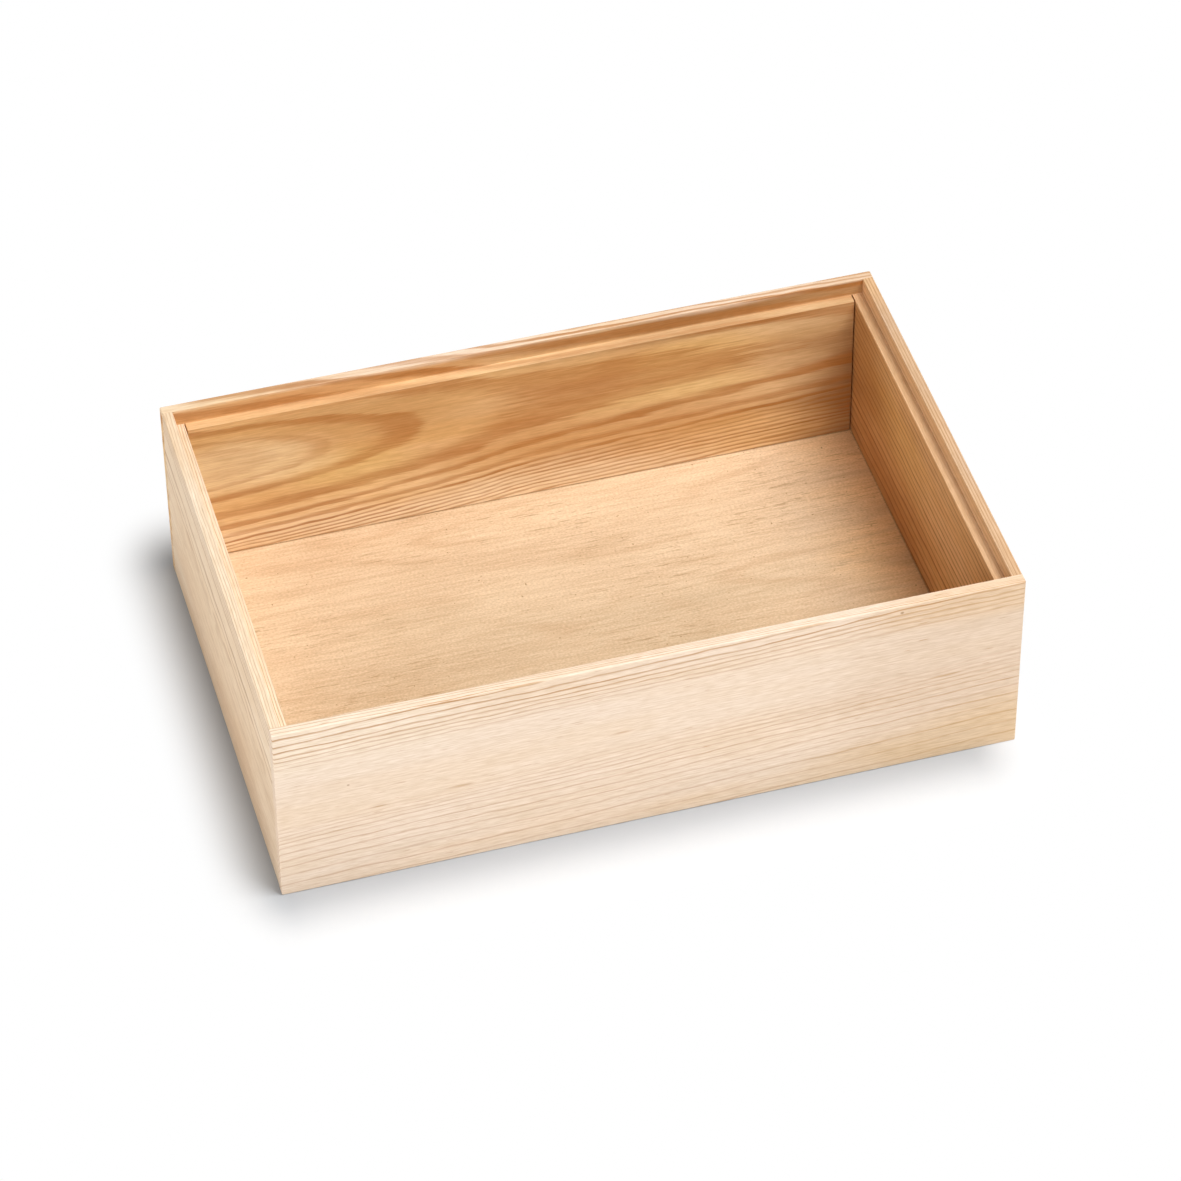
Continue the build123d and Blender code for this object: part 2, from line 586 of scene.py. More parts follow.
@dataclass(frozen=True)
class PlywoodFinish:
    """Thin sanded plywood: a rotary-cut face with broad soft figure and short dark flecks.

    Attributes:
        name: the material's name.
        pale: the face's main colour.
        tan: colour of its broad, slightly darker parts.
        figure: colour of the loops where the years are cut through.
        fleck: colour of the short flecks, and of the dark line along the floor's edge.
        flecked: the stretch with the most flecks, placed along X and Y, and its colour.
        seed: moves every random pattern.
        patches: stretches of another colour, placed the same way, one of them painted light.
        broad: where the darker parts are, and what bends the patches' outlines.
        streak: the long fibres.
        mottle: the pores.
        hair: the flecks.
        speck: the dark dots between them.
        fleck_places: where the flecks gather.
        lie: how deep in the years the face is cut.
        loop_places: where the loops show.
        loop_count: number of loops over that whole depth.
        loop_span: where a loop's colour begins and is full, from 0 at its outline to 0.5 in its middle.
        streak_tones: factors of the colour in dark and in light fibres.
        mottle_tones: the same for the pores.
        roughness: how dull the face is between its fibres.
        streak_roughness: how much duller a fibre is.
        relief: depth of the pores, in metres.
        seam: width of the dark line along the boards, in millimetres.
        seam_dark: how dark that line is.
    """

    name: str
    pale: Colour
    tan: Colour
    figure: Colour
    fleck: Colour
    flecked: Patch
    seed: float
    patches: Tuple[Patch, ...] = ()
    broad: Cloud = Cloud((90.0, 4.0, 20.0), 3.0, 0.0, (0.3, 0.75))
    streak: Cloud = Cloud((16.0, 0.9, 0.9), 3.0, 5.0)
    mottle: Cloud = Cloud((0.9, 0.5, 0.5), 2.0, 7.0)
    hair: Cloud = Cloud((6.5, 0.4, 0.4), 1.0, 9.0, (0.60, 0.72))
    speck: Cloud = Cloud((1.3, 0.8, 0.8), 0.0, 11.0, (0.81, 0.86), (0.0, 0.8))
    fleck_places: Cloud = Cloud((50.0, 8.0, 22.0), 2.0, 13.0, (0.42, 0.68), (0.1, 0.6))
    lie: Cloud = Cloud((150.0, 9.0, 34.0), 1.5, 19.0)
    loop_places: Cloud = Cloud((60.0, 9.0, 15.0), 1.0, 23.0, (0.35, 0.65), (0.1, 0.4))
    loop_count: float = 9.0
    loop_span: Range = (0.24, 0.5)
    streak_tones: Tuple[Colour, Colour] = ((0.935, 0.915, 0.885), (1.065, 1.085, 1.115))
    mottle_tones: Tuple[Colour, Colour] = ((0.900, 0.880, 0.850), (1.100, 1.120, 1.150))
    roughness: float = 0.55
    streak_roughness: float = 0.2
    relief: float = 0.04 * MM
    seam: float = 0.6
    seam_dark: float = 0.65

    def material(self, opening: Vector) -> bpy.types.Material:
        """Build the material, with its grain along X.

        Args:
            opening: half the floor's size between the boards, in metres.

        Returns:
            The material.
        """
        material = empty_material(self.name)
        sheet = NodeSheet(material.node_tree)
        # Along, down and across the floor, so that patches are placed along X and Y
        place = sheet.grain_place((math.pi / 2, 0.0, 0.0))
        broad = self.broad.noise(sheet, place, self.seed)
        streak = self.streak.noise(sheet, place, self.seed)
        mottle = self.mottle.noise(sheet, place, self.seed)

        colour = sheet.mix(sheet.ramp(broad, *self.broad.span), self.pale, self.tan)
        for patch in self.patches:
            colour = patch.over(sheet, place, broad, colour)
        colour = sheet.mix(self._loops(sheet, place), colour, self.figure)
        colour = self.flecked.over(sheet, place, broad, colour)
        dark = sheet.maths("MAXIMUM", self._flecks(sheet, place, broad), self._seam(sheet, place, opening))
        colour = sheet.mix(dark, colour, self.fleck)
        colour = sheet.shaded(colour, streak, self.streak_tones)
        colour = sheet.shaded(colour, mottle, self.mottle_tones)

        roughness = sheet.maths("MULTIPLY_ADD", streak, self.streak_roughness, self.roughness)
        sheet.close(colour, roughness, mottle, self.relief)
        return material

    def _loops(self, sheet: NodeSheet, place: Socket) -> Socket:
        """Nested soft loops, which the knife leaves where it peels through the years."""
        lie = self.lie.noise(sheet, place, self.seed)
        turned = sheet.maths("PINGPONG", sheet.times(lie, self.loop_count), 0.5)
        loops = sheet.ramp(turned, *self.loop_span)
        return sheet.times(loops, self.loop_places.mask(sheet, place, self.seed))

    def _flecks(self, sheet: NodeSheet, place: Socket, broad: Socket) -> Socket:
        """Flecks where they gather, and dots between them."""
        gathered = self.fleck_places.mask(sheet, place, self.seed)
        gathered = sheet.maths("MAXIMUM", gathered, self.flecked.cover(sheet, place, broad))
        flecks = sheet.times(self.hair.mask(sheet, place, self.seed), gathered)
        return sheet.maths("MAXIMUM", flecks, self.speck.mask(sheet, place, self.seed))

    def _seam(self, sheet: NodeSheet, place: Socket, opening: Vector) -> Socket:
        """Darken a thin line along the floor's edge, where it enters the grooves."""
        axes = sheet.add("ShaderNodeSeparateXYZ", {0: place}).outputs
        beyond_x = sheet.maths("SUBTRACT", sheet.maths("ABSOLUTE", axes[0]), opening.x / MM)
        beyond_y = sheet.maths("SUBTRACT", sheet.maths("ABSOLUTE", axes[2]), opening.y / MM)
        beyond = sheet.maths("MAXIMUM", beyond_x, beyond_y)
        return sheet.ramp(beyond, -self.seam, 0.0, 0.0, self.seam_dark)


# The board tree's inputs and their kinds
BOARD_INPUTS = {
    "Section": "Geometry",
    "Length": "Float",
    "Height": "Float",
    "Thickness": "Float",
    "Rabbet Width": "Float",
    "Rabbet Depth": "Float",
    "Steps": "Int",
    "Rabbeted": "Bool",
    "Finish": "Material",
}


def board_tree() -> bpy.types.NodeTree:
    """Build the node tree that makes a board from its section.

    The object that carries it is the section, drawn as a closed line. The section is swept along X, and each
    end of the inner face is rabbeted by a cutter centred on it.

    Returns:
        The tree, with named inputs for the board's sizes.
    """
    tree = bpy.data.node_groups.new("board_from_section", "GeometryNodeTree")
    for name, kind in BOARD_INPUTS.items():
        tree.interface.new_socket(name, in_out="INPUT", socket_type=f"NodeSocket{kind}")
    tree.interface.new_socket("Board", in_out="OUTPUT", socket_type="NodeSocketGeometry")
    sheet = NodeSheet(tree)
    given = sheet.add("NodeGroupInput", {}).outputs

    left_end = sheet.times(given["Length"], -0.5)
    right_end = sheet.times(given["Length"], 0.5)
    inputs = {"Start": sheet.point(left_end), "End": sheet.point(right_end)}
    line = sheet.add("GeometryNodeCurvePrimitiveLine", inputs)
    path = sheet.add("GeometryNodeResampleCurve", {"Curve": line.outputs[0], "Count": given["Steps"]})
    inputs = {"Curve": path.outputs[0], "Profile Curve": given["Section"], "Fill Caps": True}
    blank = sheet.add("GeometryNodeCurveToMesh", inputs).outputs[0]

    corner = sheet.point(left_end, given["Thickness"], sheet.times(given["Height"], 0.5))
    inputs = {"Count": 2, "Start Location": corner, "Offset": sheet.point(given["Length"])}
    ends = sheet.add("GeometryNodeMeshLine", inputs)
    sides = [sheet.times(given[name], 2.0) for name in ("Rabbet Width", "Rabbet Depth", "Height")]
    cutter = sheet.add("GeometryNodeMeshCube", {"Size": sheet.point(*sides)})
    inputs = {"Points": ends.outputs[0], "Instance": cutter.outputs[0]}
    cutters = sheet.add("GeometryNodeInstanceOnPoints", inputs)
    loose = sheet.add("GeometryNodeRealizeInstances", {0: cutters.outputs[0]})
    inputs = {"Mesh 1": blank, "Mesh 2": loose.outputs[0]}
    cut = sheet.add("GeometryNodeMeshBoolean", inputs, operation="DIFFERENCE", solver="EXACT")

    inputs = {"Switch": given["Rabbeted"], "False": blank, "True": cut.outputs[0]}
    chosen = sheet.add("GeometryNodeSwitch", inputs, input_type="GEOMETRY")
    real = sheet.add("GeometryNodeRealizeInstances", {0: chosen.outputs[0]})
    dressed = sheet.add("GeometryNodeSetMaterial", {0: real.outputs[0], "Material": given["Finish"]})
    sheet.add("NodeGroupOutput", {0: dressed.outputs[0]})
    return tree


def set_input(modifier: bpy.types.Modifier, name: str, value: object) -> None:
    """Set a Geometry Nodes modifier's input, found by its name, through its identifier."""
    for item in modifier.node_group.interface.items_tree:
        if item.in_out == "INPUT" and item.name == name:
            modifier[item.identifier] = value


def plain_mesh(thing: bpy.types.Object, name: str) -> bpy.types.Mesh:
    """Return an object's evaluated shape as a plain mesh, and remove the object.

    Args:
        thing: the object, with its modifiers.
        name: the new mesh's name.

    Returns:
        The mesh.
    """
    graph = bpy.context.evaluated_depsgraph_get()
    mesh = bpy.data.meshes.new_from_object(thing.evaluated_get(graph), depsgraph=graph)
    mesh.name = name
    bpy.data.objects.remove(thing)
    return mesh


def show(data: bpy.types.ID, name: str) -> bpy.types.Object:
    """Return a new object in the scene that carries some data."""
    thing = bpy.data.objects.new(name, data)
    bpy.context.scene.collection.objects.link(thing)
    return thing


@dataclass(frozen=True)
class Joinery:
    """Sizes of the boards' cuts, in metres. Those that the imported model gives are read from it.

    Attributes:
        groove_play: height of the groove beyond the bottom panel's thickness.
        panel_edge_play: room between the panel's edge and the floor of the groove.
        shoulder_gap: open line between a long board's shoulder and the side board.
        outer_round: width of the sanded edges outside.
        inner_round_share: width of the edges inside, as a share of that.
        joint_round_share: width of the edges that meet another board, as a share of that.
        wander: how far the planed edges stray from a straight line.
        wander_span: length of one such stray.
        wander_seed: fixes the strays, which would differ from run to run without it.
        step: length of one stretch of a board's mesh.
        round_segments: facets across a sanded edge.
    """

    groove_play: float = 0.1 * MM
    panel_edge_play: float = 0.4 * MM
    shoulder_gap: float = 0.4 * MM
    outer_round: float = 0.45 * MM
    inner_round_share: float = 0.4
    joint_round_share: float = 0.15
    wander: float = 0.12 * MM
    wander_span: float = 48 * MM
    wander_seed: int = 1
    step: float = 6 * MM
    round_segments: int = 3

    @cached_property
    def thickness(self) -> float:
        """Thickness of the boards."""
        low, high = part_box(Wall.FRONT.node)
        return high.y - low.y

    @cached_property
    def height(self) -> float:
        """Height of the boards."""
        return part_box(Wall.FRONT.node)[1].z

    @cached_property
    def rim(self) -> float:
        """Thickness that the rebate and the rabbets leave."""
        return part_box(Wall.LEFT.node)[0].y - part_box(Wall.FRONT.node)[0].y

    @cached_property
    def ledge(self) -> float:
        """Height of the ledge inside the rim."""
        mounts = {mount["name"]: mount for mount in frame["record"]["mounts"]}
        return mounts["lid_ledge"]["pos_m"][2]

    def section(self) -> List[Range]:
        """Section of a board, as places (inward, up) from its outer lower edge."""
        panel_low, panel_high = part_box("bottom_panel")
        groove_floor = panel_low.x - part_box(Wall.LEFT.node)[0].x - self.panel_edge_play
        groove_top = panel_high.z + self.groove_play
        return [
            (0.0, 0.0),
            (self.thickness, 0.0),
            (self.thickness, panel_low.z),
            (groove_floor, panel_low.z),
            (groove_floor, groove_top),
            (self.thickness, groove_top),
            (self.thickness, self.ledge),
            (self.rim, self.ledge),
            (self.rim, self.height),
            (0.0, self.height),
        ]


@dataclass
class Board:
    """One wall board: swept from its section, rabbeted if it is a long one, and sanded along its edges.

    Attributes:
        wall: which wall it is.
        finish: its wood.
        joinery: the sizes of its cuts.
        tree: the node tree that makes it.
        piece: the finished piece, once it is built.
    """

    wall: Wall
    finish: PineFinish
    joinery: Joinery
    tree: bpy.types.NodeTree
    piece: Optional[bpy.types.Object] = field(default=None, init=False)

    @cached_property
    def extent(self) -> Vector:
        """The board's size along X, Y and Z, in metres."""
        low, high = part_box(self.wall.node)
        return high - low

    @cached_property
    def length(self) -> float:
        """Length along the grain."""
        return self.extent.x if self.wall.is_long else self.extent.y

    @cached_property
    def reach(self) -> float:
        """Distance from the middle of the box to the board's outer face."""
        low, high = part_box(self.wall.node)
        return max(abs(low.y), abs(high.y)) if self.wall.is_long else max(abs(low.x), abs(high.x))

    def build(self) -> bpy.types.Object:
        """Make the board and put it in the place of its CAD node.

        Returns:
            The finished piece.
        """
        mesh = plain_mesh(self._swept(), f"{self.wall.node}_blank")
        self._mark_edges(mesh)
        blank = show(mesh, f"{self.wall.node}_blank")
        sanding = blank.modifiers.new("sanding", "BEVEL")
        sanding.limit_method = "WEIGHT"
        sanding.offset_type = "OFFSET"
        sanding.width = self.joinery.outer_round
        sanding.segments = self.joinery.round_segments
        sanding.harden_normals = True
        mesh = plain_mesh(blank, f"{self.wall.node}_board")
        self._flag_edges(mesh)
        self._wander(mesh)
        self._one_material(mesh)
        mesh.transform(Matrix.Rotation(self.wall.turn, 4, "Z") @ Matrix.Translation((0, -self.reach, 0)))
        self.piece = show(mesh, f"{self.wall.name.lower()}_board")
        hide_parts(self.wall.node)
        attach(self.piece, BODY)
        return self.piece

    def _swept(self) -> bpy.types.Object:
        """Draw the section and give it the node tree that makes the board."""
        joinery = self.joinery
        drawn = bpy.data.curves.new(f"{self.wall.node}_section", "CURVE")
        drawn.dimensions = "3D"
        spline = drawn.splines.new("POLY")
        places = joinery.section()
        spline.points.add(len(places) - 1)
        for corner, (inward, up) in zip(spline.points, places):
            # The sweep turns its section by half a turn, which these signs undo
            corner.co = (-inward, -up, 0.0, 1.0)
        spline.use_cyclic_u = True
        section = show(drawn, drawn.name)
        sweep = section.modifiers.new("sweep", "NODES")
        sweep.node_group = self.tree
        sizes = {
            "Length": self.length,
            "Height": joinery.height,
            "Thickness": joinery.thickness,
            "Rabbet Width": joinery.thickness + joinery.shoulder_gap,
            "Rabbet Depth": joinery.thickness - joinery.rim,
            "Steps": round(self.length / joinery.step) + 1,
            "Rabbeted": self.wall.is_long,
            "Finish": self.finish.material(self.reach),
        }
        for name, value in sizes.items():
            set_input(sweep, name, value)
        return section

    def _mark_edges(self, mesh: bpy.types.Mesh) -> None:
        """Weigh each outward edge by how far it is sanded, and keep the inner corners crisp.

        Args:
            mesh: the board before sanding, with its middle at X 0 and its outer face at Y 0.
        """
        model = bmesh.new()
        model.from_mesh(mesh)
        weights = model.edges.layers.float.new("bevel_weight_edge")
        for edge in model.edges:
            turn = edge.calc_face_angle_signed(0.0)
            edge.smooth = turn > -CORNER_TURN
            if turn > CORNER_TURN:
                edge[weights] = self._sanding((edge.verts[0].co + edge.verts[1].co) / 2)
        model.to_mesh(mesh)
        model.free()

    def _sanding(self, middle: Vector) -> float:
        """Return how far the outward edge with this middle is sanded, as a share of the outer edges."""
        at_end = abs(abs(middle.x) - self.length / 2) < NEAR
        at_face = middle.y < NEAR
        at_top_or_foot = min(middle.z, self.joinery.height - middle.z) < NEAR
        if at_end and not self.wall.is_long:
            return self.joinery.joint_round_share
        if at_end + at_face + at_top_or_foot > 1:
            return 1.0
        return self.joinery.joint_round_share if at_end else self.joinery.inner_round_share

    @staticmethod
    def _flag_edges(mesh: bpy.types.Mesh) -> None:
        """Flag the faces of the sanded edges, which lie askew, in an attribute for the finish."""
        flags = mesh.attributes.new("arris", "FLOAT", "FACE")
        values = [float(max(map(abs, face.normal)) < SQUARE_ON) for face in mesh.polygons]
        flags.data.foreach_set("value", values)

    @staticmethod
    def _one_material(mesh: bpy.types.Mesh) -> None:
        """Drop the empty material slot that the rabbets' cutters leave."""
        wood = mesh.materials[-1]
        mesh.materials.clear()
        mesh.materials.append(wood)
        mesh.polygons.foreach_set("material_index", [0] * len(mesh.polygons))

    def _wander(self, mesh: bpy.types.Mesh) -> None:
        """Let the board's edges stray a little from the straight line, as planed pine does."""
        joinery = self.joinery
        noise.seed_set(joinery.wander_seed)
        shift = Vector((self.finish.seed,) * 3)
        for vertex in mesh.vertices:
            stray = noise.noise_vector(vertex.co / joinery.wander_span + shift)
            inward = (0.5 + stray.y / 2) * joinery.wander
            down = (0.5 + stray.z / 2) * joinery.wander
            vertex.co.y += inward * (1 - vertex.co.y / joinery.thickness)
            vertex.co.z -= down * vertex.co.z / joinery.height


@dataclass
class BottomPanel:
    """The plywood bottom, held in the boards' grooves.

    Attributes:
        finish: its plywood.
        edge_round: width of its rounded edges, in metres.
        round_segments: facets across a rounded edge.
        piece: the finished piece, once it is built.
    """

    finish: PlywoodFinish
    edge_round: float = 0.2 * MM
    round_segments: int = 2
    piece: Optional[bpy.types.Object] = field(default=None, init=False)

    def build(self) -> bpy.types.Object:
        """Make the panel and put it in the place of its CAD node.

        Returns:
            The finished piece.
        """
        low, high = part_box("bottom_panel")
        model = bmesh.new()
        bmesh.ops.create_cube(model, size=1.0)
        bmesh.ops.scale(model, vec=high - low, verts=model.verts)
        bmesh.ops.translate(model, vec=(high + low) / 2, verts=model.verts)
        bmesh.ops.bevel(
            model,
            geom=model.edges[:],
            offset=self.edge_round,
            segments=self.round_segments,
            profile=ROUND_PROFILE,
            affect="EDGES",
            clamp_overlap=True,
        )
        mesh = bpy.data.meshes.new("bottom_panel_board")
        model.to_mesh(mesh)
        model.free()
        opening = Vector((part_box(Wall.RIGHT.node)[0].x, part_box(Wall.BACK.node)[0].y))
        mesh.materials.append(self.finish.material(opening))
        self.piece = show(mesh, "bottom_board")
        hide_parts("bottom_panel")
        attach(self.piece, BODY)
        return self.piece


@dataclass(frozen=True)
class Softbox:
    """A large soft lamp, aimed at the box.

    Attributes:
        name: the lamp's name.
        place: where it stands, in metres.
        width: the length of its sides.
        level: the light that it gives a surface that faces it at the box, where 1 shows a colour as it is
            written.
    """

    name: str
    place: Triple
    width: float
    level: float

    def build(self, aim: Vector) -> bpy.types.Object:
        """Set up the lamp.

        Args:
            aim: the point that it faces.

        Returns:
            The lamp.
        """
        lamp = bpy.data.lights.new(self.name, "AREA")
        lamp.shape = "SQUARE"
        lamp.size = self.width
        away = Vector(self.place) - aim
        # The power over pi and the squared distance is the light at the box, and a light of pi is level 1
        lamp.energy = self.level * math.pi * math.pi * away.length_squared
        thing = show(lamp, self.name)
        thing.location = self.place
        thing.rotation_euler = away.to_track_quat("Z", "Y").to_euler()
        return thing


@dataclass(frozen=True)
class Studio:
    """A plain white studio: floor, soft lamps and the photograph's camera.

    Attributes:
        camera_place: where the camera stands, in metres.
        camera_azimuth: its turn about Z from looking along Y, in degrees.
        camera_elevation: how far it looks down, in degrees.
        camera_roll: its turn about the line that it looks along, in degrees.
        camera_lens: its focal length, in millimetres.
        camera_sensor: width of its sensor, in millimetres.
        floor_span: length of the floor's sides, in metres.
        floor_colour: grey of the floor's paper away from the box.
        painted_shadow: colour of the paper beside the box, darker than the rest: a painted shadow that
            deepens the real one there.
        shadow_reach: how far that colour fades out along X and Y, in metres.
        shadow_inset: how far inside the box's left and right sides it begins to fade, in metres.
        room_level: light that the room gives from all sides.
        lamps: the soft lamps.
    """

    camera_place: Triple = (-0.3169, -1.1442, 1.1658)
    camera_azimuth: float = -15.556
    camera_elevation: float = 43.804
    camera_roll: float = -0.570
    camera_lens: float = 156.22
    camera_sensor: float = 36.0
    floor_span: float = 6.0
    floor_colour: float = 0.92
    painted_shadow: Colour = (0.46, 0.48, 0.505)
    shadow_reach: Range = (0.0276, 0.033)
    shadow_inset: Range = (0.0036, 0.016)
    room_level: float = 0.2
    lamps: Tuple[Softbox, ...] = (
        Softbox("key_softbox", (0.55, -0.42, 1.4), 0.95, 1.12),
        Softbox("front_softbox", (-0.55, -0.8, 0.4), 0.4, 0.16),
        Softbox("left_softbox", (-2.0, -0.3, 0.25), 0.4, 0.25),
        Softbox("back_softbox", (0.4, 2.0, 0.3), 0.6, 0.3),
    )

    def build(self) -> None:
        """Set up the floor, the world, the lamps and the camera."""
        self._floor()
        self._world()
        for lamp in self.lamps:
            lamp.build(Vector((0.0, 0.0, CAD_BOX[1].z / 2)))
        self._camera()
        bpy.context.scene.view_settings.view_transform = "Standard"

    def _floor(self) -> None:
        """Lay a pale floor that shows plain white, apart from the box's shadow."""
        model = bmesh.new()
        bmesh.ops.create_grid(model, x_segments=1, y_segments=1, size=self.floor_span / 2)
        mesh = bpy.data.meshes.new("floor")
        model.to_mesh(mesh)
        model.free()
        mesh.materials.append(self._paper())
        show(mesh, "floor")

    def _paper(self) -> bpy.types.Material:
        """Make the floor's paper, which light falls on, which is painted darker beside the box as a shadow,
        and which shows plain white away from it.
        """
        material = empty_material("floor_paper")
        sheet = NodeSheet(material.node_tree)
        rays = sheet.add("ShaderNodeLightPath", {}).outputs
        seen = sheet.maths("MAXIMUM", rays["Is Glossy Ray"], rays["Is Transmission Ray"])
        seen = sheet.maths("MAXIMUM", rays["Is Camera Ray"], seen)
        far = self._away_from_box(sheet)
        # Darker paper beside the box: a painted shadow under the real one
        colour = sheet.mix(far, self.painted_shadow, (self.floor_colour,) * 3)
        paper = sheet.add("ShaderNodeBsdfDiffuse", {"Color": colour})
        white = sheet.add("ShaderNodeEmission", {"Strength": 1.0})
        inputs = {0: sheet.times(seen, far), 1: paper.outputs[0], 2: white.outputs[0]}
        shown = sheet.add("ShaderNodeMixShader", inputs)
        sheet.add("ShaderNodeOutputMaterial", {"Surface": shown.outputs[0]})
        return material

    def _away_from_box(self, sheet: NodeSheet) -> Socket:
        """Return how far a place on the floor is from the box, from 0 beside it to 1 beyond its shadow."""
        world = sheet.add("ShaderNodeTexCoord", {}).outputs["Object"]
        low = (CAD_BOX[0].x + self.shadow_inset[0], CAD_BOX[0].y, 0.0)
        high = (CAD_BOX[1].x - self.shadow_inset[1], CAD_BOX[1].y, 0.0)
        before = sheet.vector("SUBTRACT", low, world)
        behind = sheet.vector("SUBTRACT", world, high)
        beyond = sheet.vector("MAXIMUM", sheet.vector("MAXIMUM", before, behind), (0.0, 0.0, 0.0))
        away = sheet.length(sheet.vector("DIVIDE", beyond, (*self.shadow_reach, 1.0)))
        return sheet.ramp(away, 0.0, 1.0)

    def _world(self) -> None:
        """Light the room evenly, and show it white."""
        world = bpy.data.worlds.new("white_room")
        bpy.context.scene.world = world
        world.use_nodes = True
        world.node_tree.nodes.clear()
        sheet = NodeSheet(world.node_tree)
        rays = sheet.add("ShaderNodeLightPath", {}).outputs
        seen = sheet.maths("MAXIMUM", rays["Is Camera Ray"], rays["Is Transmission Ray"])
        level = sheet.maths("MULTIPLY_ADD", seen, 1.0 - self.room_level, self.room_level)
        white = sheet.add("ShaderNodeBackground", {"Color": (1.0, 1.0, 1.0, 1.0), "Strength": level})
        sheet.add("ShaderNodeOutputWorld", {"Surface": white.outputs[0]})

    def _camera(self) -> None:
        """Put the camera where the photograph was taken from."""
        angles = (self.camera_azimuth, self.camera_elevation, self.camera_roll)
        azimuth, elevation, roll = map(math.radians, angles)
        level = math.cos(elevation)
        forward = Vector((-math.sin(azimuth) * level, math.cos(azimuth) * level, -math.sin(elevation)))
        level_right = Vector((math.cos(azimuth), math.sin(azimuth), 0.0))
        level_up = level_right.cross(forward)
        right = math.cos(roll) * level_right + math.sin(roll) * level_up
        up = right.cross(forward)
        data = bpy.data.cameras.new("camera")
        data.lens = self.camera_lens
        data.sensor_width = self.camera_sensor
        thing = show(data, "camera")
        turn = Matrix((right, up, -forward)).transposed().to_4x4()
        thing.matrix_world = Matrix.Translation(self.camera_place) @ turn
        bpy.context.scene.camera = thing


RESIN_BROWN: Colour = (0.62, 0.38, 0.20)
FRONT_PINE = PineFinish(
    name="front_pine",
    wall=Wall.FRONT,
    rings=GrowthRings(
        pith=((-120.0, 44.6, 40.8), (0.0, 45.0, 45.2), (120.0, 45.4, 50.2)),
        face_depth=45.0,
        years=(-27.0, -23.0, -19.5, -16.0, -12.0, -7.0, 10.7, 12.4, 14.1, 15.7, 17.5, 19.8, 22.4, 25.5, 28.6,
               32.2, 36.5, 41.2, 45.9, 50.7, 55.6),
        line_width=0.75,
        line_rise=0.5,
        growth_above=0.86,
        bold_by_year=((0.0, 0.6), (6.0, 0.5), (7.5, 0.75), (10.0, 1.0), (20.0, 1.0)),
        bold_by_height=((0.0, 0.57), (40.0, 0.55), (56.0, 1.0), (70.0, 1.0)),
        wave=1.2,
    ),
    early=(0.885, 0.715, 0.565),
    late=(0.52, 0.24, 0.06),
    warm=(0.875, 0.69, 0.52),
    line_strength=0.8,
    dash_strength=0.45,
    seed=4.0,
    stains_and_painted_light=(
        # Paler along the foot: painted light that stands in for light bounced up from the floor
        Patch((-20.0, 0.0), (220.0, 12.0), (0.98, 0.75, 0.55), 0.5),
        # Darker towards the right end and the lower right: painted shade where the light falls off
        Patch((120.0, 34.0), (100.0, 60.0), (0.75, 0.57, 0.42), 0.7),
        Patch((122.0, 9.0), (70.0, 17.0), (0.76, 0.51, 0.25), 0.5),
        Patch((70.0, 0.0), (95.0, 13.0), (0.79, 0.54, 0.28), 0.3),
        Patch((-105.0, 62.0), (75.0, 16.0), (0.96, 0.82, 0.66), 0.6),
        Patch((118.0, 66.0), (60.0, 10.0), (0.78, 0.52, 0.28), 0.4),
    ),
    marks=(
        Patch((-88.0, 30.5), (5.0, 0.7), RESIN_BROWN, 0.7),
        Patch((-62.0, 32.0), (6.0, 0.7), RESIN_BROWN, 0.6),
        Patch((-10.0, 40.5), (5.5, 0.75), RESIN_BROWN, 0.7),
        Patch((95.0, 36.0), (6.5, 0.7), RESIN_BROWN, 0.6),
        Patch((-97.2, 42.5), (0.6, 0.5), (0.50, 0.30, 0.16), 0.7),
        Patch((79.7, 67.2), (0.7, 0.6), (0.45, 0.25, 0.12), 0.8),
    ),
)
